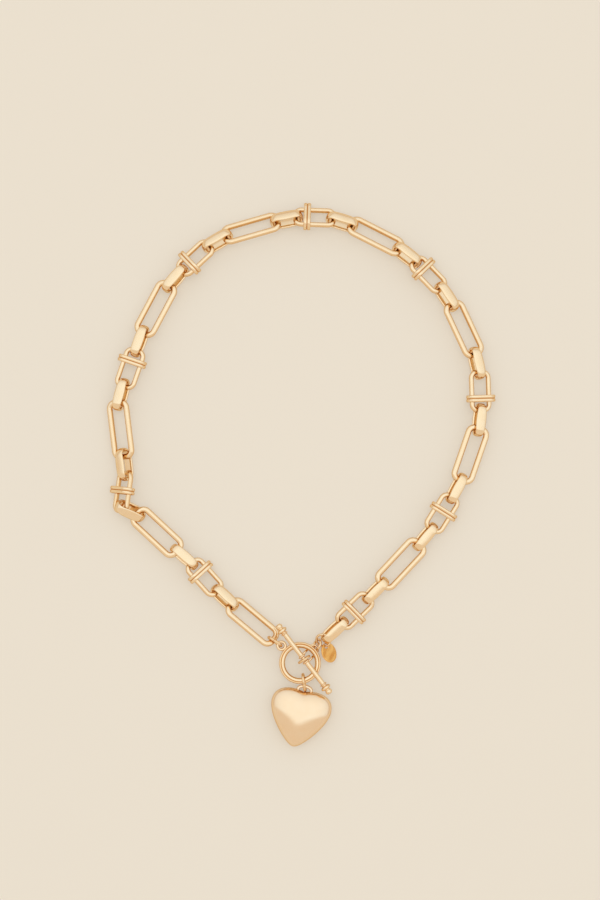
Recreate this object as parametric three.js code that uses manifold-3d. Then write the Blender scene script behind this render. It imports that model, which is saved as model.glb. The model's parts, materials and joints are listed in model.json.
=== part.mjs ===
// A toggle necklace lying clasped on a table: long links, bands standing on edge and
// stirrup links with sliding collars form the loop, and a toggle bar through a ring closes it.
// A hollow puffed heart and a small blank tag hang at the clasp. Millimetres, +Z up.
import * as THREE from 'three';
import { mergeVertices } from 'three/addons/utils/BufferGeometryUtils.js';
import Module from 'manifold-3d';

const wasm = await Module();
wasm.setup();

// ---------------------------------------------------------------- driving dimensions
// A loop is a closed bar bent to a rounded rectangle: outer length, outer width, corner
// radius of its centre line, and its bar's thickness in the loop's plane and across it.
const LONG_LINK = { length: 23.8, width: 9.6, corner: 2.5, bar: 2.3, across: 2.0 };
const STIRRUP = { length: 16.8, width: 8.8, corner: 2.3, bar: 1.9, across: 1.9 };
const BAND = { length: 13.1, width: 6.4, corner: 2.55, bar: 1.2, across: 4.0 };
const BAND_END_ACROSS = 2.8; // a band's strip narrows to this at both ends
const COLLAR = { length: 11.6, width: 6.0, corner: 2.4, bar: 1.0, across: 2.7 };
const COLLAR_LIFT = 0.45; // a loose collar rests on the table, so it sits high on its stirrup

// Half of a link's share of the chain's length, so that neighbours keep some play.
const REACH = { long: 9.2, band: 5.18, stirrup: 6.12 };
const CHAIN_HEIGHT = 3.95; // of the links' middles above the table

const TOGGLE_RING = { radius: 7.05, bar: 2.3, across: 2.1 };
const TOGGLE_RING_HEIGHT = 4.5;
const EYE = { radius: 1.5, bar: 1.1, across: 1.4, heading: 137, distance: 9.9 };

const BAR_HALF_LENGTH = 16.95;
const BAR_RADIUS = 0.95;
const BAR_WAIST_RADIUS = 0.75;
const BAR_HEIGHT = 6.8;
const BAR_HEADING = -52.5;
const BAR_MIDDLE = [0.95, -72.3];

// The small wire rings. Each is a loop of length by width, and lies as its heading, pitch and
// roll say; a standing one is on its edge before it is rolled.
const SMALL_RINGS = {
  eye_jump_ring: {
    length: 7.0, width: 5.2, wire: 1.1,
    middle: [-10.4, -65.65, 4.3], heading: 147, pitch: -5, roll: -11, standing: true,
  },
  bar_ring: {
    length: 5.6, width: 5.6, wire: 0.9,
    middle: [1.0, -72.5, 5.85], heading: 34, pitch: -5, standing: true,
  },
  link_ring: {
    length: 8.4, width: 4.4, wire: 0.9,
    middle: [3.45, -70.2, 3.1], heading: 46, pitch: -23,
  },
  side_ring: {
    length: 5.2, width: 5.0, wire: 0.9,
    middle: [6.15, -67.0, 2.25], heading: 51, pitch: 23, roll: -34, standing: true,
  },
  end_ring: {
    length: 6.4, width: 6.0, wire: 0.9,
    middle: [8.5, -65.25, 3.35], heading: 5, pitch: 20, roll: -22,
  },
  heart_jump_ring: {
    length: 7.5, width: 6.0, wire: 1.1,
    middle: [1.0, -81.6, 4.9], heading: -81, pitch: -13, roll: -4, standing: true,
  },
};

// The heart's notch is at its own origin and its tip straight below, before it is turned.
const HEART = {
  halfWidth: 11.9, height: 22, depth: 9.5, wall: 0.8, seam: 0.3, notch: [1.2, -85.4], turn: -12,
};
const BAIL = { halfWidth: 3.2, foot: 1.0, top: 2.9, strip: 1.0, across: 2.2 };
const TAG = {
  length: 8.2, width: 7.4, thickness: 0.7, hole: 0.95, holeOffset: 2.8,
  middle: [10.75, -70.1, 2.6], heading: -66, pitch: -3, roll: 39,
};

// The chain as it lies, clockwise from the toggle ring: each link's kind, its heading in
// degrees from +X, how far its top leans outwards, and its pitch where it is not level.
// A stirrup also has its collar's place, in millimetres forward of its middle. A nudge moves
// a link that hangs in its neighbour's corner, and all that follow it, by [x, y, z].
const LAYOUT = [
  { kind: 'long', heading: 140, roll: -28 },
  { kind: 'band', heading: 137, roll: -30 },
  { kind: 'stirrup', heading: 132, roll: -22, collar: 2.6 },
  { kind: 'band', heading: 139, roll: -13 },
  { kind: 'long', heading: 137, roll: 4 },
  { kind: 'band', heading: 155, roll: 28, pitch: 24, nudge: [0.6, 0.2, -0.9] },
  { kind: 'stirrup', heading: 82, roll: 46, pitch: -4, nudge: [0.6, -0.7, -2.3], collar: 0.5 },
  { kind: 'band', heading: 97, roll: 38, nudge: [0.2, -0.4, -0.1] },
  { kind: 'long', heading: 97, roll: 23, nudge: [0.3, -0.6, 0] },
  { kind: 'band', heading: 75, roll: 16, nudge: [0, -0.4, 0] },
  { kind: 'stirrup', heading: 71, roll: 11, nudge: [0.2, -0.6, 0], collar: 2.9 },
  { kind: 'band', heading: 70, roll: 12 },
  { kind: 'long', heading: 62, roll: 16, nudge: [0.2, -0.3, 0] },
  { kind: 'band', heading: 49, roll: 18, nudge: [-0.1, -0.2, 0] },
  { kind: 'stirrup', heading: 43, roll: 27, collar: -2.9 },
  { kind: 'band', heading: 30, roll: 33, nudge: [-0.3, -0.2, 0] },
  { kind: 'long', heading: 16, roll: 34, nudge: [-0.2, -0.1, 0] },
  { kind: 'band', heading: 11, roll: 35 },
  { kind: 'stirrup', heading: -2, roll: 31, nudge: [-0.2, 0, 0], collar: -2.9 },
  { kind: 'band', heading: -17, roll: 34, nudge: [-0.3, 0, 0] },
  { kind: 'long', heading: -27, roll: 32 },
  { kind: 'band', heading: -38, roll: 30 },
  { kind: 'stirrup', heading: -46, roll: 26, collar: -2.9 },
  { kind: 'band', heading: -56, roll: 27 },
  { kind: 'long', heading: -65, roll: 22 },
  { kind: 'band', heading: -77, roll: 21 },
  { kind: 'stirrup', heading: -88, roll: 14, nudge: [0, 0.2, 0], collar: 2.9 },
  { kind: 'band', heading: -96, roll: 14 },
  { kind: 'long', heading: -109, roll: 8, nudge: [0, 0.3, 0] },
  { kind: 'band', heading: -118, roll: 12 },
  { kind: 'stirrup', heading: -122, roll: 12, collar: -0.9 },
  { kind: 'band', heading: -130, roll: 11 },
  { kind: 'long', heading: -133, roll: 6 },
  { kind: 'band', heading: -135, roll: 10 },
  { kind: 'stirrup', heading: -136, roll: 12, collar: 0.6 },
  { kind: 'band', heading: -137, roll: 14, nudge: [0.4, 0.3, 0] },
];
const CHAIN_START = [-12.2, -63.9]; // where the first long link hooks on
const RING_MIDDLE = [-0.6, -74.0];

// ---------------------------------------------------------------- materials
const gold = new THREE.MeshStandardMaterial({ color: 0xe9c18b, roughness: 0.18, metalness: 1 });
const heartGold = new THREE.MeshStandardMaterial({ color: 0xe8bd88, roughness: 0.12, metalness: 1 });
const tagGold = new THREE.MeshStandardMaterial({ color: 0xd99a3c, roughness: 0.25, metalness: 1 });

// ---------------------------------------------------------------- small helpers
const radians = THREE.MathUtils.degToRad;

// A unit step in the table's plane along a heading in degrees.
function towards(heading) {
  return new THREE.Vector3(Math.cos(radians(heading)), Math.sin(radians(heading)), 0);
}

// How a shape drawn along its own X lies: X runs along the heading and is tipped up by pitch,
// and the shape leans to the left by roll. A standing shape is first turned up on its edge.
function placing({ heading = 0, pitch = 0, roll = 0, standing = false }) {
  const aboutX = radians((standing ? 90 : 0) - roll);
  return new THREE.Euler(aboutX, radians(-pitch), radians(heading), 'ZYX');
}

function place(mesh, middle, lie) {
  mesh.rotation.copy(placing(lie));
  mesh.position.copy(middle);
}

// Points around a rounded rectangle, each with the way out from it, anticlockwise.
function roundedRectangle(halfLength, halfWidth, corner, arcSteps) {
  const points = [];
  for (let quarter = 0; quarter < 4; quarter++) {
    const toEnd = quarter === 0 || quarter === 3 ? 1 : -1;
    const toSide = quarter < 2 ? 1 : -1;
    for (let step = 0; step <= arcSteps; step++) {
      const angle = (quarter + step / arcSteps) * (Math.PI / 2);
      const out = new THREE.Vector2(Math.cos(angle), Math.sin(angle));
      const x = toEnd * (halfLength - corner) + corner * out.x;
      const y = toSide * (halfWidth - corner) + corner * out.y;
      points.push({ x, y, out });
    }
  }
  return points;
}

// A closed ring of metal: a section carried round a closed path in the XY plane. The section
// is a list of [outwards, upwards] offsets, anticlockwise as seen looking along the path.
function ringSolid(path, sectionAt) {
  const positions = [];
  const indices = [];
  const sides = sectionAt(path[0]).length;
  for (const point of path) {
    for (const [outwards, upwards] of sectionAt(point)) {
      positions.push(point.x + point.out.x * outwards, point.y + point.out.y * outwards, upwards);
    }
  }
  for (let i = 0; i < path.length; i++) {
    const here = i * sides;
    const next = ((i + 1) % path.length) * sides;
    for (let j = 0; j < sides; j++) {
      const k = (j + 1) % sides;
      indices.push(here + j, next + k, next + j, here + j, here + k, next + k);
    }
  }
  const geometry = new THREE.BufferGeometry();
  geometry.setAttribute('position', new THREE.Float32BufferAttribute(positions, 3));
  geometry.setIndex(indices);
  return geometry;
}

// A round or oval bar's section.
function roundSection(thick, high, sides) {
  return Array.from({ length: sides }, (_, i) => {
    const angle = ((i + 0.5) / sides) * 2 * Math.PI;
    return [(-Math.cos(angle) * thick) / 2, (Math.sin(angle) * high) / 2];
  });
}

function loopPath({ length, width, corner, bar }, arcSteps) {
  return roundedRectangle((length - bar) / 2, (width - bar) / 2, corner, arcSteps);
}

function circlePath(radius, steps) {
  return Array.from({ length: steps }, (_, i) => {
    const angle = (i / steps) * 2 * Math.PI;
    const out = new THREE.Vector2(Math.cos(angle), Math.sin(angle));
    return { x: radius * out.x, y: radius * out.y, out };
  });
}

// A wire loop of a rounded rectangle's shape.
function wireLoop(size, sides, arcSteps = 3) {
  return ringSolid(loopPath(size, arcSteps), () => roundSection(size.bar, size.across, sides));
}

// A jump ring: a small oval loop of round wire.
function jumpRing(length, width, wire) {
  const corner = (Math.min(length, width) - wire) / 2 - 0.01;
  return wireLoop({ length, width, corner, bar: wire, across: wire }, 6);
}

// ---------------------------------------------------------------- chain pieces
// A band's strip is flat inside, crowned outside, and narrower round the two ends.
function bandGeometry() {
  const halfLength = BAND.length / 2;
  return ringSolid(loopPath(BAND, 3), ({ x }) => {
    const towardsEnd = Math.abs(x / halfLength) ** 2;
    const half = THREE.MathUtils.lerp(BAND.across, BAND_END_ACROSS, towardsEnd) / 2;
    const inner = -BAND.bar / 2;
    const crown = BAND.bar / 2;
    const shoulder = 0.1;
    return [
      [inner, -half], [inner, half], [shoulder, half],
      [crown, half / 2], [crown, -half / 2], [shoulder, -half],
    ];
  });
}

// A collar goes round both legs of a stirrup, with two ridges and a groove between them.
function collarGeometry() {
  const half = COLLAR.across / 2;
  const inner = -COLLAR.bar / 2;
  const ridge = COLLAR.bar / 2;
  const shoulder = 0.2;
  const groove = 0.1;
  const section = [
    [inner, -half], [inner, half], [shoulder, half], [ridge, half / 2],
    [groove, 0], [ridge, -half / 2], [shoulder, -half],
  ];
  const geometry = ringSolid(loopPath(COLLAR, 2), () => section);
  return geometry.rotateX(Math.PI / 2).rotateZ(Math.PI / 2);
}

// The bail is a strip arched over the notch, its feet just clear of the heart's edge.
function bailGeometry() {
  const { halfWidth, foot, top, strip, across } = BAIL;
  const arch = new THREE.Shape();
  arch.moveTo(halfWidth, foot);
  arch.absellipse(0, foot, halfWidth, top - foot, 0, Math.PI);
  arch.lineTo(strip - halfWidth, foot);
  arch.absellipse(0, foot, halfWidth - strip, top - foot - strip, Math.PI, 0, true);
  const options = { depth: across, bevelEnabled: false, curveSegments: 8 };
  return new THREE.ExtrudeGeometry(arch, options).translate(0, 0, -across / 2);
}

const SHAPES = {
  long: { geometry: wireLoop(LONG_LINK, 8), name: 'long_link', standing: false },
  band: { geometry: bandGeometry(), name: 'band_link', standing: true },
  stirrup: { geometry: wireLoop(STIRRUP, 6), name: 'stirrup_link', standing: false },
};
const collarShape = collarGeometry();

// ---------------------------------------------------------------- the heart
// The right half's outline is two curves: from the notch over the shoulder to the widest
// point, and from there down to the tip. The notch is at the origin and the tip below it.
function heartOutline(steps) {
  const widest = new THREE.Vector2(HEART.halfWidth, -0.255 * HEART.height);
  const shoulder = new THREE.CubicBezierCurve(
    new THREE.Vector2(0, 0),
    new THREE.Vector2(0.39 * HEART.halfWidth, 0.073 * HEART.height),
    new THREE.Vector2(HEART.halfWidth, 0.04 * HEART.height),
    widest,
  );
  const flank = new THREE.CubicBezierCurve(
    widest,
    new THREE.Vector2(HEART.halfWidth, -0.52 * HEART.height),
    new THREE.Vector2(0.27 * HEART.halfWidth, -0.965 * HEART.height),
    new THREE.Vector2(0, -HEART.height),
  );
  const right = [...shoulder.getSpacedPoints(steps), ...flank.getSpacedPoints(steps).slice(1)];
  const left = right.slice(1, -1).reverse().map((p) => new THREE.Vector2(-p.x, p.y));
  return [...right, ...left].reverse();
}

// One stamped half of the heart: a domed cup with an even wall, open at the seam.
function heartShell(front) {
  const outline = heartOutline(7);
  const centre = new THREE.Vector2(0, -0.42 * HEART.height);
  const side = front ? 1 : -1;
  const rings = [1, 0.96, 0.86, 0.68, 0.4];
  const positions = [];
  const indices = [];
  const domeHeight = (share, depth) => depth * Math.sqrt(1 - share ** 2.2);
  const skins = [
    { inset: 0, depth: (HEART.depth - HEART.seam) / 2 },
    { inset: HEART.wall, depth: (HEART.depth - HEART.seam) / 2 - HEART.wall },
  ];
  for (const { inset, depth } of skins) {
    for (const share of rings) {
      for (const edge of outline) {
        const out = edge.clone().sub(centre);
        const point = centre.clone().addScaledVector(out, (share * (out.length() - inset)) / out.length());
        positions.push(point.x, point.y, side * (HEART.seam / 2 + domeHeight(share, depth)));
      }
    }
    positions.push(centre.x, centre.y, side * (HEART.seam / 2 + depth));
  }
  const count = outline.length;
  const skinSize = rings.length * count + 1;
  const facet = (a, b, c, flip) => indices.push(...(flip ? [a, c, b] : [a, b, c]));
  skins.forEach((_, skin) => {
    const start = skin * skinSize;
    const flip = (skin === 0) !== front;
    for (let i = 0; i < count; i++) {
      const next = (i + 1) % count;
      for (let ring = 0; ring + 1 < rings.length; ring++) {
        const a = start + ring * count;
        const b = a + count;
        facet(a + i, a + next, b + next, flip);
        facet(a + i, b + next, b + i, flip);
      }
      const last = start + (rings.length - 1) * count;
      facet(last + i, last + next, start + skinSize - 1, flip);
    }
  });
  for (let i = 0; i < count; i++) {
    const next = (i + 1) % count;
    facet(i, next, skinSize + next, front);
    facet(i, skinSize + next, skinSize + i, front);
  }
  const geometry = new THREE.BufferGeometry();
  geometry.setAttribute('position', new THREE.Float32BufferAttribute(positions, 3));
  geometry.setIndex(indices);
  return geometry;
}

// ---------------------------------------------------------------- turned and joined pieces
function toSolid(geometry) {
  const bare = geometry.clone();
  bare.deleteAttribute('normal');
  bare.deleteAttribute('uv');
  const merged = mergeVertices(bare, 1e-4);
  return new wasm.Manifold(new wasm.Mesh({
    numProp: 3,
    vertProperties: merged.attributes.position.array,
    triVerts: new Uint32Array(merged.index.array),
  }));
}

function fromSolid(solid) {
  const { numProp, vertProperties, triVerts } = solid.getMesh();
  const positions = [];
  for (let i = 0; i < vertProperties.length; i += numProp) {
    positions.push(vertProperties[i], vertProperties[i + 1], vertProperties[i + 2]);
  }
  const geometry = new THREE.BufferGeometry();
  geometry.setAttribute('position', new THREE.Float32BufferAttribute(positions, 3));
  geometry.setIndex(Array.from(triVerts));
  return geometry;
}

// The ring the bar locks into, with its eye cast on at the side.
function toggleRingGeometry() {
  const size = TOGGLE_RING;
  const ring = ringSolid(circlePath(size.radius, 28), () => roundSection(size.bar, size.across, 8));
  const eye = ringSolid(circlePath(EYE.radius, 14), () => roundSection(EYE.bar, EYE.across, 6));
  const side = towards(EYE.heading).multiplyScalar(EYE.distance);
  eye.translate(side.x, side.y, 0);
  return fromSolid(toSolid(ring).add(toSolid(eye)));
}

// The bar is turned about its own length: a waist between two beads in the middle, and
// towards each end a bead, a knob and a small ball.
function toggleBarGeometry() {
  const half = [
    [BAR_WAIST_RADIUS, 0],
    [BAR_WAIST_RADIUS, 0.75],
    [1.5, 1.0],
    [1.5, 1.6],
    [BAR_RADIUS, 1.95],
    [BAR_RADIUS, 12.0],
    [1.4, 12.25],
    [1.4, 12.75],
    [1.0, 13.0],
    [1.95, 13.5],
    [1.95, 14.5],
    [1.0, 15.1],
    [1.3, 15.6],
    [1.2, 16.4],
    [0.6, BAR_HALF_LENGTH],
    [0, BAR_HALF_LENGTH],
  ];
  const otherHalf = half.slice(1).reverse().map(([radius, along]) => [radius, -along]);
  const profile = [...otherHalf, ...half].map(([radius, along]) => new THREE.Vector2(radius, along));
  return new THREE.LatheGeometry(profile, 12).rotateZ(-Math.PI / 2);
}

// A blank oval plate with a hole near its edge for the end ring.
function tagGeometry() {
  const { length, width, thickness, hole, holeOffset } = TAG;
  const plate = new THREE.Shape();
  plate.absellipse(0, 0, length / 2, width / 2, 0, 2 * Math.PI);
  const opening = new THREE.Path();
  opening.absarc(-holeOffset, 0, hole, 0, 2 * Math.PI, true);
  plate.holes.push(opening);
  const options = { depth: thickness, bevelEnabled: false, curveSegments: 10 };
  return new THREE.ExtrudeGeometry(plate, options).translate(0, 0, -thickness / 2);
}

// ---------------------------------------------------------------- assembly
const necklace = new THREE.Group();
necklace.name = 'pendant_necklace';

function addMesh(parent, name, geometry, material) {
  const mesh = new THREE.Mesh(geometry, material);
  mesh.name = name;
  parent.add(mesh);
  return mesh;
}

// The chain, hooked link to link.
const chain = new THREE.Group();
chain.name = 'chain';
necklace.add(chain);
const counts = { long: 0, band: 0, stirrup: 0 };
const hook = new THREE.Vector3(CHAIN_START[0], CHAIN_START[1], CHAIN_HEIGHT);
for (const link of LAYOUT) {
  const shape = SHAPES[link.kind];
  const pitch = link.pitch ?? 0;
  const step = towards(link.heading).multiplyScalar(Math.cos(radians(pitch)));
  step.z = Math.sin(radians(pitch));
  step.multiplyScalar(REACH[link.kind]);
  const middle = hook.clone().add(step).add(new THREE.Vector3(...(link.nudge ?? [0, 0, 0])));
  counts[link.kind] += 1;
  const name = `${shape.name}_${counts[link.kind]}`;
  place(addMesh(chain, name, shape.geometry, gold), middle, { ...link, pitch, standing: shape.standing });
  if (link.kind === 'stirrup') {
    const lift = new THREE.Vector3(link.collar, 0, COLLAR_LIFT).applyEuler(placing({ ...link, pitch }));
    const collarMiddle = middle.clone().add(lift);
    const collar = addMesh(chain, `collar_${counts.stirrup}`, collarShape, gold);
    place(collar, collarMiddle, { ...link, pitch });
  }
  hook.copy(middle).add(step);
}

// The clasp: the ring, the bar across it, and the small rings that tie the bar to the chain.
const clasp = new THREE.Group();
clasp.name = 'clasp';
necklace.add(clasp);
const ringMiddle = new THREE.Vector3(...RING_MIDDLE, TOGGLE_RING_HEIGHT);
place(addMesh(clasp, 'toggle_ring', toggleRingGeometry(), gold), ringMiddle, {});
const barMiddle = new THREE.Vector3(...BAR_MIDDLE, BAR_HEIGHT);
place(addMesh(clasp, 'toggle_bar', toggleBarGeometry(), gold), barMiddle, { heading: BAR_HEADING });
for (const [name, ring] of Object.entries(SMALL_RINGS)) {
  const geometry = jumpRing(ring.length, ring.width, ring.wire);
  place(addMesh(clasp, name, geometry, gold), new THREE.Vector3(...ring.middle), ring);
}
place(addMesh(clasp, 'tag', tagGeometry(), tagGold), new THREE.Vector3(...TAG.middle), TAG);

// The hollow heart: two stamped cups face to face, with a strip arched over the notch.
const pendant = new THREE.Group();
pendant.name = 'pendant';
pendant.position.set(...HEART.notch, HEART.depth / 2);
pendant.rotation.z = radians(HEART.turn);
necklace.add(pendant);
addMesh(pendant, 'heart_front', heartShell(true), heartGold);
addMesh(pendant, 'heart_back', heartShell(false), heartGold);
addMesh(pendant, 'heart_bail', bailGeometry(), heartGold);

// The middle of the necklace's outline sits over the origin and its lowest point on the table.
necklace.updateMatrixWorld(true);
const box = new THREE.Box3().setFromObject(necklace, true);
const shift = box.getCenter(new THREE.Vector3());
for (const group of necklace.children) {
  group.position.x -= shift.x;
  group.position.y -= shift.y;
  group.position.z -= box.min.z;
}

export default necklace;
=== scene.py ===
"""A gold toggle necklace with a puffed heart, lying clasped on a pale table.

Each fine mesh is drawn in millimetres in the frame of the CAD node it stands for, is laid where
that node lies, and rides on that node's body.
"""
import json
import math

import bmesh
import bpy
import numpy as np
from mathutils import Matrix, Vector


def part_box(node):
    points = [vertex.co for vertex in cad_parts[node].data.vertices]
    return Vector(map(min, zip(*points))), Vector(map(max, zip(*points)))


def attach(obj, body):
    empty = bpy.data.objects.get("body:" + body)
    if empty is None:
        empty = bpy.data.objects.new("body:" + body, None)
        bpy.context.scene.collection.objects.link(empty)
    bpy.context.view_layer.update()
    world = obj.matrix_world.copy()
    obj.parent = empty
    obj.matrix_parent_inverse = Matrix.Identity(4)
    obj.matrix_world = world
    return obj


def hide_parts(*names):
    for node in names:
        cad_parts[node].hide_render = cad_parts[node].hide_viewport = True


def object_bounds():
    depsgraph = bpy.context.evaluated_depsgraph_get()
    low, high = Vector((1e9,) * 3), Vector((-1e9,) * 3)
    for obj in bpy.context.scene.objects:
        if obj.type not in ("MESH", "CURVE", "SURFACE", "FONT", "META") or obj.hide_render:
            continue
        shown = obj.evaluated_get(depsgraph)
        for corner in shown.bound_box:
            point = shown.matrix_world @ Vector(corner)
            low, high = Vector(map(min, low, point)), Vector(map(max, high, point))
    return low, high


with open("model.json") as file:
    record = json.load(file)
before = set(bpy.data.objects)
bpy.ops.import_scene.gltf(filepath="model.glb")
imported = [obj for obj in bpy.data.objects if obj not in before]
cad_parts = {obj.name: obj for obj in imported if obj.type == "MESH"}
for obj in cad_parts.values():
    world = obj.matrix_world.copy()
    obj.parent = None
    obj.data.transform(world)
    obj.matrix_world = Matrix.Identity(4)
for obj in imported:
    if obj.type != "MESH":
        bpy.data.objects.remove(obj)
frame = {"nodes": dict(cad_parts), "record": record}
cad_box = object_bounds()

MM = 0.001
BODY_OF = {
    node: body
    for body, nodes in frame["record"]["behaviour"]["bodies"].items()
    for node in nodes
}

# ------------------------------------------------------------------ sizes, in millimetres
# A loop's outer length and width, the corner radius of its centre line, and its bar's
# thickness in the loop's plane and across it.
LONG_LINK = {"length": 23.8, "width": 9.6, "corner": 2.5, "bar": 2.3, "across": 2.0}
STIRRUP = {"length": 16.8, "width": 8.8, "corner": 2.3, "bar": 1.9, "across": 1.9}
BAND = {"length": 13.1, "width": 6.4, "corner": 2.55, "bar": 1.2, "across": 4.0}
BAND_END_ACROSS = 2.8
COLLAR = {"length": 11.6, "width": 6.0, "corner": 2.4, "bar": 1.0, "across": 2.7}
# The rounded sections and edges here stand a little inside the CAD's, so that nothing touches
# its neighbour where the chain is folded as far as it goes.
WIRE_SHY = 0.04
BAND_SHY = 0.06
TAG_EDGE_SHY = 0.1

# Each wire ring's outer length and width and its wire, and where round the ring its ends
# meet, as a share of the way round from its long end.
WIRE_RINGS = {
    "eye_jump_ring": (7.0, 5.2, 1.1, 0.22),
    "bar_ring": (5.6, 5.6, 0.9, 0.30),
    "link_ring": (8.4, 4.4, 0.9, 0.26),
    "side_ring": (5.2, 5.0, 0.9, 0.40),
    "end_ring": (6.4, 6.0, 0.9, 0.30),
    "heart_jump_ring": (7.5, 6.0, 1.1, 0.24),
}
WIRE_RING_GAP = 0.07

TOGGLE_RING = {"radius": 7.05, "bar": 2.3, "across": 2.1}
TOGGLE_RING_SIDES = 8  # flats round the CAD ring's section
# The groove's place round the section, up from its outermost point, and its width, in radians.
RING_GROOVE = {"at": math.radians(64), "width": 0.24, "depth": 0.5}
EYE = {"radius": 1.5, "bar": 1.1, "across": 1.4, "heading": 137, "distance": 9.9}

BAR_HALF_LENGTH = 16.95
BAR_RADIUS = 0.95
BAR_WAIST = {"radius": 0.75, "half_length": 0.85}
BAR_NECK = {"radius": 1.0, "from": 12.5, "to": 15.6}
# The bar's turned swellings on each half: distance from the middle, radius, half width.
BAR_SWELLINGS = [
    (1.3, 1.5, 0.5),
    (12.5, 1.42, 0.4),
    (14.0, 1.97, 0.85),
    (15.9, 1.3, 1.05),
]

HEART = {"half_width": 11.9, "height": 22.0, "depth": 9.5, "wall": 0.8, "seam": 0.3}
HEART_MIDDLE = np.array([0, -0.42 * HEART["height"]])
HEART_TIP_BLUR = 0.08  # radians of the outline that its tip is rounded over
HEART_DOME_POWER = 2.2
BAIL = {"half_width": 3.2, "foot": 1.0, "top": 2.9, "strip": 1.16, "across": 2.2, "sunk": 1.6}
TAG = {"length": 8.2, "width": 7.4, "thickness": 0.7, "hole": 0.95, "hole_offset": 2.8}


# ------------------------------------------------------------------ where the CAD nodes lie
def node_points(node):
    """A node's own points, each once, in metres."""
    points = [tuple(vertex.co) for vertex in frame["nodes"][node].data.vertices]
    return np.unique(np.round(np.array(points), 7), axis=0)


def lie_of(node):
    """A symmetric node's frame: X along its longest spread, Z along its shortest, at its middle."""
    points = node_points(node)
    _, axes = np.linalg.eigh(np.cov(points.T))
    along, up = axes[:, 2], axes[:, 0]
    turn = np.column_stack([along, np.cross(up, along), up])
    own = points @ turn
    middle = turn @ ((own.min(0) + own.max(0)) / 2)
    lie = Matrix([list(row) for row in turn]).to_4x4()
    lie.translation = Vector(middle)
    return lie


def tag_lie():
    """The tag's frame, turned so that its hole, which has the more points, is towards -X."""
    lie = lie_of("tag")
    mean = lie.inverted() @ Vector(node_points("tag").mean(0))
    return lie @ Matrix.Rotation(math.pi, 4, "Z") if mean.x > 0 else lie


def toggle_ring_lie():
    """The toggle ring lies level, placed by its right and bottom, which are clear of its eye."""
    low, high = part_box("toggle_ring")
    section = TOGGLE_RING["bar"] / 2 * math.cos(math.pi / TOGGLE_RING_SIDES)
    reach = (TOGGLE_RING["radius"] + section) * MM
    return Matrix.Translation((high.x - reach, low.y + reach, (low.z + high.z) / 2))


def heart_lie():
    """The heart's frame: its notch at the origin and its tip straight down -Y."""
    low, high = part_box("heart_bail")
    bail = (low + high) / 2
    tip = max((Vector(p) for p in node_points("heart_front")), key=lambda p: (p - bail).length)
    up = (bail - tip).xy.normalized()
    lie = Matrix.Rotation(math.atan2(up.y, up.x) - math.pi / 2, 4, "Z")
    notch = tip.xy + up * HEART["height"] * MM
    lie.translation = (notch.x, notch.y, bail.z)
    return lie


# ------------------------------------------------------------------ paths and sections
def rounded_loop(size, arc_steps=10, straight_steps=14):
    """Stops round a loop's centre line, anticlockwise: each one's place and the way out from it."""
    half_length = (size["length"] - size["bar"]) / 2 - size["corner"]
    half_width = (size["width"] - size["bar"]) / 2 - size["corner"]
    stops = []
    for quarter in range(4):
        centre = Vector((
            half_length if quarter in (0, 3) else -half_length,
            half_width if quarter < 2 else -half_width,
        ))
        for step in range(arc_steps + 1):
            angle = (quarter + step / arc_steps) * math.pi / 2
            out = Vector((math.cos(angle), math.sin(angle)))
            stops.append((centre + out * size["corner"], out))
        next_x = half_length * (1 if quarter in (2, 3) else -1)
        next_y = half_width * (1 if quarter in (0, 3) else -1)
        next_start = Vector((next_x, next_y)) + out * size["corner"]
        last = stops[-1][0]
        if (next_start - last).length > size["corner"] / 2:
            for step in range(1, straight_steps):
                stops.append((last.lerp(next_start, step / straight_steps), out))
    return stops


def circle(radius, steps):
    """Stops round a circle, anticlockwise."""
    turns = [2 * math.pi * step / steps for step in range(steps)]
    outs = [Vector((math.cos(turn), math.sin(turn))) for turn in turns]
    return [(out * radius, out) for out in outs]


def cut_open(stops, share, gap, count=72):
    """The same path cut open, with its ends half the gap either side of a share of it."""
    table = np.array([[*place, *out] for place, out in [*stops, stops[0]]])
    strides = np.linalg.norm(np.diff(table[:, :2], axis=0), axis=1)
    along = np.concatenate([[0], np.cumsum(strides)])
    whole = along[-1]
    wanted = share * whole + np.linspace(gap / 2, whole - gap / 2, count)
    columns = [np.interp(wanted % whole, along, column) for column in table.T]
    return [(Vector((x, y)), Vector((u, v)).normalized()) for x, y, u, v in zip(*columns)]


def oval(thick, high, sides=24, outer_power=2.0, inner_power=2.0):
    """A bar's section, as [outwards, upwards] offsets: an ellipse, squarer as its power rises."""
    section = []
    for side in range(sides):
        angle = 2 * math.pi * (side + 0.5) / sides
        across, up = math.cos(angle), math.sin(angle)
        power = 2 / (outer_power if across > 0 else inner_power)
        outwards = math.copysign(abs(across) ** power, across) * thick / 2
        section.append((outwards, math.copysign(abs(up) ** power, up) * high / 2))
    return section


def grooved(thick, high, groove_at, groove_width, groove_depth, sides=56):
    """A round bar's section with a groove cut along it above and below its outer side."""
    section = []
    for side in range(sides):
        angle = 2 * math.pi * (side + 0.5) / sides
        turn = abs((angle + math.pi) % (2 * math.pi) - math.pi)
        cut = groove_depth * math.exp(-(((turn - groove_at) / groove_width) ** 2))
        section.append((math.cos(angle) * (thick / 2 - cut), math.sin(angle) * (high / 2 - cut)))
    return section


def ridged(thick, high, ridge_steps=9, edge=0.18):
    """A collar's section: flat inside, and outside two round ridges with a groove between."""
    inner, valley, crest = -thick / 2, 0.06, thick / 2
    half = high / 2
    section = [(inner, -half + edge), (inner, half - edge), (inner + edge, half)]
    for ridge in (1, -1):
        for step in range(ridge_steps + 1):
            turn = math.pi * (step / ridge_steps)
            upwards = ridge * half / 2 + math.cos(turn) * half / 2
            section.append((valley + (crest - valley) * math.sin(turn), upwards))
    section.append((inner + edge, -half))
    return section


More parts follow.
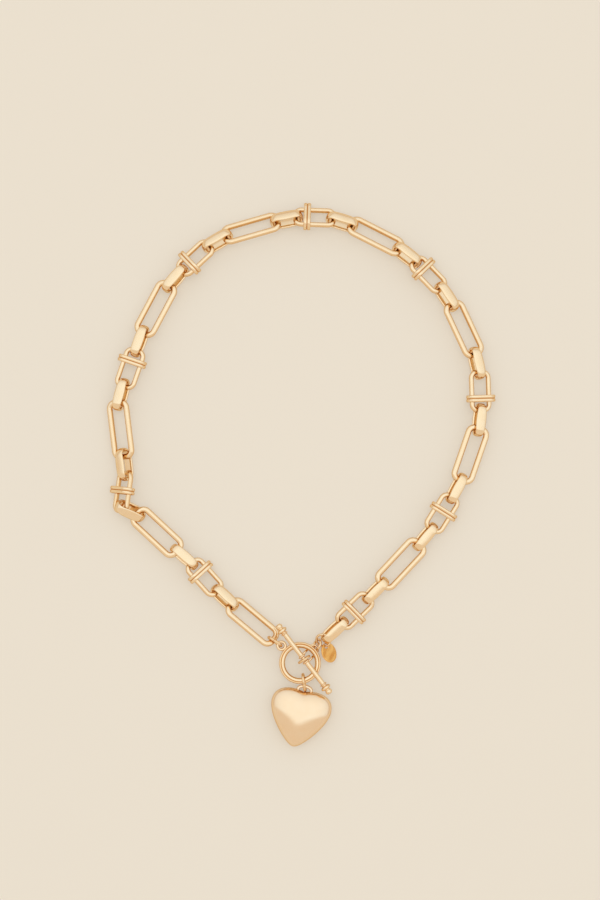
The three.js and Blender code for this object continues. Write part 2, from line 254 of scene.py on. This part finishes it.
# ------------------------------------------------------------------ painted shade of a bar's section
# Each says how much painted shade darkens the gold at a point of a section, from 0 to 1, from
# the point's offset outwards and upwards and from half the bar's thickness.
def inner_side_shade(outwards, upwards, half):
    """Painted shade only where the bar faces into its loop."""
    flank_start, flank_spread = 0.5, 0.45
    return min(1, max(0, (-outwards / half - flank_start) / flank_spread))


def both_flanks_shade(outwards, upwards, half):
    """Painted shade on both flanks of a wire, and most on the inner one."""
    outer_share = 0.4
    return inner_side_shade(-abs(outwards), upwards, half) * (1 if outwards < 0 else outer_share)


def collar_shade(outwards, upwards, half):
    """Painted shade inside a collar and in the groove between its two ridges."""
    groove_reach = 0.3
    return max(0, 1 - abs(upwards) / groove_reach) if outwards > 0 else 1


def ring_shade(outwards, upwards, half):
    """Painted shade on both flanks of the toggle ring and in its groove."""
    deepest = 0.35
    off_middle = math.hypot(outwards / TOGGLE_RING["bar"], upwards / TOGGLE_RING["across"])
    return max(both_flanks_shade(outwards, upwards, half), min(1, (1 - off_middle * 2) / deepest))


# ------------------------------------------------------------------ shapes: points and faces
def swept(stops, section_at, shade_at, closed=True):
    """A section carried along a path in the XY plane, with flat ends if the path is open.

    The third result says how much painted shade darkens the gold at each point, from 0 to 1.
    """
    points, painted_shade = [], []
    for place, out in stops:
        section = section_at(place)
        half = max(outwards for outwards, _ in section)
        for outwards, upwards in section:
            point = place + out * outwards
            points.append((point.x, point.y, upwards))
            painted_shade.append(shade_at(outwards, upwards, half))
    sides = len(points) // len(stops)
    faces = []
    for i in range(len(stops) if closed else len(stops) - 1):
        here, there = i * sides, (i + 1) % len(stops) * sides
        for j in range(sides):
            k = (j + 1) % sides
            faces.append((here + j, there + j, there + k, here + k))
    if not closed:
        faces.append(tuple(range(sides)))
        faces.append(tuple(range(len(points) - sides, len(points))))
    return points, faces, painted_shade


def wire_loop(size, sides=24):
    """A long link or a stirrup link."""
    section = oval(size["bar"] - WIRE_SHY, size["across"] - WIRE_SHY, sides, 2.1, 2.1)
    return swept(rounded_loop(size), lambda place: section, both_flanks_shade)


def band_loop():
    """A strip bent to a loop: nearly flat inside, crowned outside, narrower round both ends."""
    half_length = BAND["length"] / 2

    def section_at(place):
        to_end = (place.x / half_length) ** 2
        across = BAND["across"] + (BAND_END_ACROSS - BAND["across"]) * to_end
        return oval(BAND["bar"] - BAND_SHY, across - BAND_SHY, 36, 2.3, 3.6)

    points, faces, painted_shade = swept(rounded_loop(BAND, 14, 12), section_at, inner_side_shade)
    # The band's painted shade is kept only towards its two ends.
    painted_shade = [share * (x / half_length) ** 4 for share, (x, _, _) in zip(painted_shade, points)]
    return points, faces, painted_shade


def collar_loop():
    """An oval collar with two ridges round it."""
    section = ridged(COLLAR["bar"], COLLAR["across"])
    return swept(rounded_loop(COLLAR, 12, 8), lambda place: section, collar_shade)


def wire_ring(length, width, wire, ends_at):
    """A ring bent from round wire, whose two ends meet at a fine gap."""
    corner = (min(length, width) - wire) / 2 - 0.01
    size = {"length": length, "width": width, "corner": corner, "bar": wire}
    stops = cut_open(rounded_loop(size, 16, 8), ends_at, WIRE_RING_GAP)
    section = oval(wire, wire, 20)
    end_shrink = 0.92  # each end face is this much narrower than the wire

    def section_at(place):
        to_end = min((place - stops[0][0]).length, (place - stops[-1][0]).length)
        shrink = 1 if to_end > 1e-6 else end_shrink
        return [(outwards * shrink, upwards * shrink) for outwards, upwards in section]

    return swept(stops, section_at, both_flanks_shade, closed=False)


def toggle_ring():
    """A round bar bent to a ring, with a groove cut round it a little outside its crest."""
    groove = RING_GROOVE
    section = grooved(
        TOGGLE_RING["bar"], TOGGLE_RING["across"], groove["at"], groove["width"], groove["depth"]
    )
    return swept(circle(TOGGLE_RING["radius"], 160), lambda place: section, ring_shade)


def toggle_eye():
    """The small flat eye beside the toggle ring."""
    section = oval(EYE["bar"], EYE["across"], 28, 2.4, 2.4)
    heading = math.radians(EYE["heading"])
    centre = Vector((math.cos(heading), math.sin(heading))) * EYE["distance"]
    stops = [(place + centre, out) for place, out in circle(EYE["radius"], 64)]
    return swept(stops, lambda place: section, both_flanks_shade)


def bar_radius(along):
    """The toggle bar's radius at a distance from its middle: the widest thing turned there."""
    along = abs(along)
    if along < BAR_WAIST["half_length"]:
        radius = BAR_WAIST["radius"]
    elif BAR_NECK["from"] < along < BAR_NECK["to"]:
        radius = BAR_NECK["radius"]
    else:
        radius = BAR_RADIUS if along <= BAR_NECK["from"] else 0
    for middle, swelling, half_width in BAR_SWELLINGS:
        off = (along - middle) / half_width
        if abs(off) < 1:
            radius = max(radius, swelling * math.sqrt(1 - off**2) ** 0.7)
    return radius


def toggle_bar(steps=560, sides=32):
    """The bar, turned about X, with a point at each end."""
    points, rows = [(-BAR_HALF_LENGTH, 0, 0)], []
    for step in range(1, steps):
        along = -BAR_HALF_LENGTH * math.cos(math.pi * step / steps) * 0.25
        along += BAR_HALF_LENGTH * (2 * step / steps - 1) * 0.75
        radius = bar_radius(along)
        rows.append(len(points))
        for side in range(sides):
            angle = 2 * math.pi * side / sides
            points.append((along, radius * math.cos(angle), radius * math.sin(angle)))
    points.append((BAR_HALF_LENGTH, 0, 0))
    faces = []
    for side in range(sides):
        after = (side + 1) % sides
        for here, there in zip(rows, rows[1:]):
            faces.append((here + side, here + after, there + after, there + side))
        faces.append((0, rows[0] + after, rows[0] + side))
        faces.append((len(points) - 1, rows[-1] + side, rows[-1] + after))
    return points, faces


def cubic(a, b, c, d, steps=80):
    """Points along a cubic curve."""
    t = np.linspace(0, 1, steps)[:, None]
    a, b, c, d = (np.array(p) for p in (a, b, c, d))
    return a * (1 - t) ** 3 + 3 * b * t * (1 - t) ** 2 + 3 * c * t**2 * (1 - t) + d * t**3


def heart_edge(count):
    """How far the heart's edge lies from its middle in each direction round it."""
    width, height = HEART["half_width"], HEART["height"]
    widest = (width, -0.255 * height)
    shoulder = cubic((0, 0), (0.39 * width, 0.073 * height), (width, 0.04 * height), widest)
    flank = cubic(widest, (width, -0.52 * height), (0.27 * width, -0.965 * height), (0, -height))
    right = np.concatenate([shoulder, flank])
    outline = np.concatenate([right, right[::-1] * [-1, 1]]) - HEART_MIDDLE
    angles = np.arctan2(outline[:, 1], outline[:, 0]) % (2 * math.pi)
    order = np.argsort(angles)
    radii = np.linalg.norm(outline, axis=1)
    wanted = np.linspace(0, 2 * math.pi, count, endpoint=False)
    sharp = np.interp(wanted, angles[order], radii[order], period=2 * math.pi)
    return wanted, np.where(np.sin(wanted) < 0, softened(sharp, HEART_TIP_BLUR), sharp)


def softened(radii, blur):
    """Radii round a circle with their corners rounded off over an angle of about blur radians."""
    waves = np.fft.rfft(radii)
    waves *= np.exp(-((np.arange(len(waves)) * blur) ** 2) / 2)
    return np.fft.irfft(waves, len(radii))


def heart_cup(side, count=180, rings=36):
    """One stamped half of the heart: a domed cup of even wall, open at the seam.

    The outline is blurred more towards the crown, so that the dome has no crease.
    """
    rim_blur, crown_blur = 0.02, 0.22
    angles, radii = heart_edge(count)
    ways = np.column_stack([np.cos(angles), np.sin(angles)])
    dome = HEART["depth"] / 2 - HEART["seam"] / 2
    points = []
    for inset in (0, HEART["wall"]):
        for ring in range(rings):
            share = math.cos(math.pi / 2 * ring / rings)
            edge = softened(radii, rim_blur + crown_blur * (1 - share)) - inset
            rise = math.sqrt(1 - share**HEART_DOME_POWER)
            height = HEART["seam"] / 2 + (dome - inset) * rise
            for x, y in HEART_MIDDLE + ways * (share * edge)[:, None]:
                points.append((x, y, side * height))
        points.append((*HEART_MIDDLE, side * (HEART["seam"] / 2 + dome - inset)))
    skin = rings * count + 1
    faces = []
    for i in range(count):
        j = (i + 1) % count
        for start in (0, skin):
            for ring in range(rings - 1):
                here, there = start + ring * count, start + (ring + 1) * count
                faces.append((here + i, here + j, there + j, there + i))
            last = start + (rings - 1) * count
            faces.append((last + i, last + j, start + skin - 1))
        faces.append((i, j, skin + j, skin + i))
    return points, faces


def heart_bail(steps=36):
    """A strip arched over the notch, with its two feet let into the heart's edge."""
    wide = BAIL["half_width"] - BAIL["strip"] / 2
    tall = BAIL["top"] - BAIL["foot"] - BAIL["strip"] / 2
    feet = BAIL["foot"] - BAIL["sunk"]
    stops = [(Vector((wide, feet)), Vector((1, 0)))]
    for step in range(steps + 1):
        angle = math.pi * step / steps
        place = Vector((wide * math.cos(angle), BAIL["foot"] + tall * math.sin(angle)))
        out = Vector((tall * math.cos(angle), wide * math.sin(angle))).normalized()
        stops.append((place, out))
    stops.append((Vector((-wide, feet)), Vector((-1, 0))))
    section = oval(BAIL["strip"], BAIL["across"], 32, 2.6, 4.0)
    return swept(stops, lambda place: section, inner_side_shade, closed=False)


def tag_plate(count=120, steps=26, wave=0.12):
    """A blank oval plate with a round hole and a gently beaten face."""
    hole_middle = Vector((-TAG["hole_offset"], 0))
    half_length, half_width = TAG["length"] / 2 - TAG_EDGE_SHY, TAG["width"] / 2 - TAG_EDGE_SHY
    points = []
    for i in range(count):
        angle = 2 * math.pi * i / count
        way = Vector((math.cos(angle), math.sin(angle)))
        inner = hole_middle + way * TAG["hole"]
        outer = Vector((way.x * half_length, way.y * half_width))
        for step in range(2 * steps):
            turn = math.pi * step / steps
            share = 0.5 - 0.5 * math.cos(turn)
            place = inner.lerp(outer, share)
            edge = math.sqrt(max(0, 1 - abs(2 * share - 1) ** 9))
            beaten = wave * math.sin(1.5 * place.x + 0.8 * place.y) * math.sin(share * math.pi)
            height = math.copysign(TAG["thickness"] / 2 - wave, math.sin(turn)) * edge + beaten
            points.append((place.x, place.y, height))
    faces = []
    around = 2 * steps
    for i in range(count):
        here, there = i * around, (i + 1) % count * around
        for j in range(around):
            k = (j + 1) % around
            faces.append((here + j, there + j, there + k, here + k))
    return points, faces


# ------------------------------------------------------------------ materials
# This attribute carries painted shade: how much darker the gold is painted on flanks and inner
# faces.
PAINTED_SHADE_ATTRIBUTE = "painted_section_shade"  # the mesh attribute that says how much deeper the gold is at a point
GOLD_GRAZING_TINT = (0.85, 0.55, 0.25, 1)


def new_material(name):
    material = bpy.data.materials.new(name)
    material.use_nodes = True
    return material, material.node_tree, material.node_tree.nodes["Principled BSDF"]


def noise_of(tree, scale, detail, roughness=0.55):
    """A noise pattern fixed to the object's own space."""
    where = tree.nodes.new("ShaderNodeTexCoord")
    noise = tree.nodes.new("ShaderNodeTexNoise")
    noise.inputs["Scale"].default_value = scale
    noise.inputs["Detail"].default_value = detail
    noise.inputs["Roughness"].default_value = roughness
    tree.links.new(where.outputs["Object"], noise.inputs["Vector"])
    return noise.outputs["Fac"]


def mapped(tree, value, from_low, from_high, to_low, to_high):
    """A value carried from one range to another."""
    node = tree.nodes.new("ShaderNodeMapRange")
    tree.links.new(value, node.inputs["Value"])
    ends = {"From Min": from_low, "From Max": from_high, "To Min": to_low, "To Max": to_high}
    for end, number in ends.items():
        node.inputs[end].default_value = number
    return node.outputs["Result"]


def mixed(tree, share, first, second):
    """Two colours mixed by a share, each one given outright or as another node's output."""
    node = tree.nodes.new("ShaderNodeMix")
    node.data_type = "RGBA"
    tree.links.new(share, node.inputs["Factor"])
    for socket, colour in ((node.inputs["A"], first), (node.inputs["B"], second)):
        if isinstance(colour, bpy.types.NodeSocket):
            tree.links.new(colour, socket)
        else:
            socket.default_value = (*colour, 1)
    return node.outputs["Result"]


def gold(name, tint, warm_tint, flank_shade_tint, hollow_shade_tint, smoothest, roughest, scratch):
    """Polished gold plating, finely scratched.

    Its tint drifts, and painted shade darkens it on the flanks of a loop's bar and in hollows.
    """
    material, tree, shader = new_material(name)
    shader.inputs["Metallic"].default_value = 1.0
    shader.inputs["Specular Tint"].default_value = GOLD_GRAZING_TINT
    drift = mapped(tree, noise_of(tree, 260, 3), 0.35, 0.65, 0, 1)
    face = mixed(tree, drift, tint, warm_tint)
    # Painted shade in the hollows: low pointiness mixes in the darker hollow tint.
    curve = tree.nodes.new("ShaderNodeNewGeometry").outputs["Pointiness"]
    hollow_shade = mapped(tree, curve, 0.40, 0.49, 1, 0)
    # Painted shade on the flanks: the stored attribute mixes in the darker flank tint.
    flank = tree.nodes.new("ShaderNodeAttribute")
    flank.attribute_name = PAINTED_SHADE_ATTRIBUTE
    face = mixed(tree, flank.outputs["Fac"], face, flank_shade_tint)
    tree.links.new(mixed(tree, hollow_shade, face, hollow_shade_tint), shader.inputs["Base Color"])
    haze = noise_of(tree, 700, 4)
    tree.links.new(mapped(tree, haze, 0.3, 0.7, smoothest, roughest), shader.inputs["Roughness"])
    bump = tree.nodes.new("ShaderNodeBump")
    bump.inputs["Strength"].default_value = scratch
    bump.inputs["Distance"].default_value = 0.02 * MM
    tree.links.new(noise_of(tree, 2600, 5, 0.7), bump.inputs["Height"])
    tree.links.new(bump.outputs["Normal"], shader.inputs["Normal"])
    return material


def paper(name, tint, glow_tint, glow):
    """The table's matt pale sheet, faintly grained and lit a little from beneath."""
    material, tree, shader = new_material(name)
    shader.inputs["Roughness"].default_value = 0.85
    shader.inputs["Specular IOR Level"].default_value = 0.2
    shader.inputs["Emission Color"].default_value = (*glow_tint, 1)
    shader.inputs["Emission Strength"].default_value = glow
    shade = [channel * 0.985 for channel in tint]
    tree.links.new(
        mixed(tree, noise_of(tree, 45, 4), tint, shade), shader.inputs["Base Color"]
    )
    bump = tree.nodes.new("ShaderNodeBump")
    bump.inputs["Strength"].default_value = 0.1
    bump.inputs["Distance"].default_value = 0.05 * MM
    tree.links.new(noise_of(tree, 1800, 4), bump.inputs["Height"])
    tree.links.new(bump.outputs["Normal"], shader.inputs["Normal"])
    return material


# Each gold's flank and hollow tints are painted shade, darker orange where light reaches less.
chain_gold = gold(
    "chain_gold", tint=(0.93, 0.735, 0.48), warm_tint=(0.93, 0.71, 0.44),
    flank_shade_tint=(0.75, 0.44, 0.17), hollow_shade_tint=(0.72, 0.32, 0.09),
    smoothest=0.10, roughest=0.17, scratch=0.25,
)
heart_gold = gold(
    "heart_gold", tint=(0.92, 0.72, 0.49), warm_tint=(0.92, 0.70, 0.46),
    flank_shade_tint=(0.80, 0.50, 0.24), hollow_shade_tint=(0.78, 0.44, 0.18),
    smoothest=0.12, roughest=0.16, scratch=0.15,
)
tag_gold = gold(
    "tag_gold", tint=(0.91, 0.54, 0.18), warm_tint=(0.85, 0.44, 0.12),
    flank_shade_tint=(0.70, 0.33, 0.08), hollow_shade_tint=(0.62, 0.25, 0.05),
    smoothest=0.14, roughest=0.24, scratch=0.4,
)
table_paper = paper("table_paper", (0.425, 0.384, 0.323), (0.82, 0.74, 0.61), 0.42)


# ------------------------------------------------------------------ the object's pieces
def add_mesh(name, shape, lie, material):
    """A smooth closed mesh whose points are already laid in the row frame."""
    points, faces, *painted_shade = shape
    mesh = bpy.data.meshes.new(name)
    mesh.from_pydata([lie @ (Vector(point) * MM) for point in points], [], faces)
    # The section's painted shade is stored on the mesh for the gold material to read.
    if painted_shade:
        mesh.attributes.new(PAINTED_SHADE_ATTRIBUTE, "FLOAT", "POINT").data.foreach_set("value", painted_shade[0])
    surface = bmesh.new()
    surface.from_mesh(mesh)
    bmesh.ops.recalc_face_normals(surface, faces=surface.faces)
    for face in surface.faces:
        face.smooth = True
    surface.to_mesh(mesh)
    surface.free()
    mesh.materials.append(material)
    piece = bpy.data.objects.new(name, mesh)
    bpy.context.scene.collection.objects.link(piece)
    return piece


def stand_for(node, shape, lie, material=chain_gold, name=None):
    """A fine mesh in place of a CAD node, riding on the node's body."""
    piece = add_mesh(name or f"{node}_fine", shape, lie, material)
    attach(piece, BODY_OF[node])
    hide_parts(node)
    return piece


CHAIN_SHAPES = {
    "long_link": (9, wire_loop(LONG_LINK)),
    "stirrup_link": (9, wire_loop(STIRRUP)),
    "band_link": (18, band_loop()),
    "collar": (9, collar_loop()),
}
for kind, (count, shape) in CHAIN_SHAPES.items():
    for number in range(1, count + 1):
        node = f"{kind}_{number}"
        stand_for(node, shape, lie_of(node))

for node, ring in WIRE_RINGS.items():
    stand_for(node, wire_ring(*ring), lie_of(node))

stand_for("toggle_ring", toggle_ring(), toggle_ring_lie())
eye = add_mesh("toggle_ring_eye", toggle_eye(), toggle_ring_lie(), chain_gold)
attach(eye, BODY_OF["toggle_ring"])
stand_for("toggle_bar", toggle_bar(), lie_of("toggle_bar"))
stand_for("tag", tag_plate(), tag_lie(), tag_gold)
stand_for("heart_front", heart_cup(1), heart_lie(), heart_gold)
stand_for("heart_back", heart_cup(-1), heart_lie(), heart_gold)
stand_for("heart_bail", heart_bail(), heart_lie(), heart_gold)


# ------------------------------------------------------------------ table, light and camera
WHITER_SIDE = (0.17, 0.98, 0)  # the way to the room's whiter side, level
CEILING_LIGHT = (1.10, 1.15, 1.20)
WALL_LIGHT = (0.90, 0.91, 0.93)
LOW_LIGHT = (0.66, 0.50, 0.37)
WARM_LIGHT = (0.85, 0.75, 0.65)


def add_table(half_size=12.0):
    """A flat sheet under the necklace, wide enough to reach the horizon, in metres."""
    corners = [(-half_size, -half_size, 0), (half_size, -half_size, 0),
               (half_size, half_size, 0), (-half_size, half_size, 0)]
    mesh = bpy.data.meshes.new("table")
    mesh.from_pydata(corners, [], [(0, 1, 2, 3)])
    mesh.materials.append(table_paper)
    table = bpy.data.objects.new("table", mesh)
    bpy.context.scene.collection.objects.link(table)


def add_studio():
    """A pale room: on one side white overhead and dim low down, on the other evenly warm."""
    world = bpy.data.worlds.new("studio")
    world.use_nodes = True
    bpy.context.scene.world = world
    tree = world.node_tree
    background = tree.nodes["Background"]
    where = tree.nodes.new("ShaderNodeTexCoord").outputs["Generated"]
    axes = tree.nodes.new("ShaderNodeSeparateXYZ")
    tree.links.new(where, axes.inputs[0])
    across = tree.nodes.new("ShaderNodeVectorMath")
    across.operation = "DOT_PRODUCT"
    across.inputs[1].default_value = WHITER_SIDE
    tree.links.new(where, across.inputs[0])
    whiter = mapped(tree, across.outputs["Value"], -0.33, -0.21, 0, 1)
    height = axes.outputs["Z"]
    white = mixed(tree, mapped(tree, height, 0.3, 0.95, 0, 1), WALL_LIGHT, CEILING_LIGHT)
    white = mixed(tree, mapped(tree, height, 0.0, 0.3, 0, 1), LOW_LIGHT, white)
    tree.links.new(mixed(tree, whiter, WARM_LIGHT, white), background.inputs["Color"])


def add_softbox(name, place, aim, size, power):
    """A square soft light at a place in metres, turned towards an aim."""
    light = bpy.data.lights.new(name, "AREA")
    light.shape = "SQUARE"
    light.size = size
    light.energy = power
    lamp = bpy.data.objects.new(name, light)
    lamp.location = place
    lamp.rotation_mode = "QUATERNION"
    lamp.rotation_quaternion = (Vector(aim) - Vector(place)).to_track_quat("-Z", "Y")
    lamp.visible_glossy = False
    bpy.context.scene.collection.objects.link(lamp)


def add_camera(view_height, lens, shift_up, shift_right, focus_height):
    """A camera straight above the necklace whose picture is view_height metres tall there."""
    data = bpy.data.cameras.new("camera")
    data.lens = lens
    data.clip_start, data.clip_end = 0.01, 100
    camera = bpy.data.objects.new("camera", data)
    middle = (cad_box[0] + cad_box[1]) / 2
    distance = view_height * lens / data.sensor_width
    camera.location = (middle.x + shift_right, middle.y + shift_up, focus_height + distance)
    bpy.context.scene.collection.objects.link(camera)
    bpy.context.scene.camera = camera


add_table()
add_studio()
add_softbox("overhead_softbox", (-0.05, 0.15, 1.5), (0, 0, 0), 0.9, 4.5)
add_camera(view_height=0.3528, lens=100, shift_up=0.00976, shift_right=-0.00036, focus_height=0.004)
bpy.context.scene.view_settings.view_transform = "Standard"
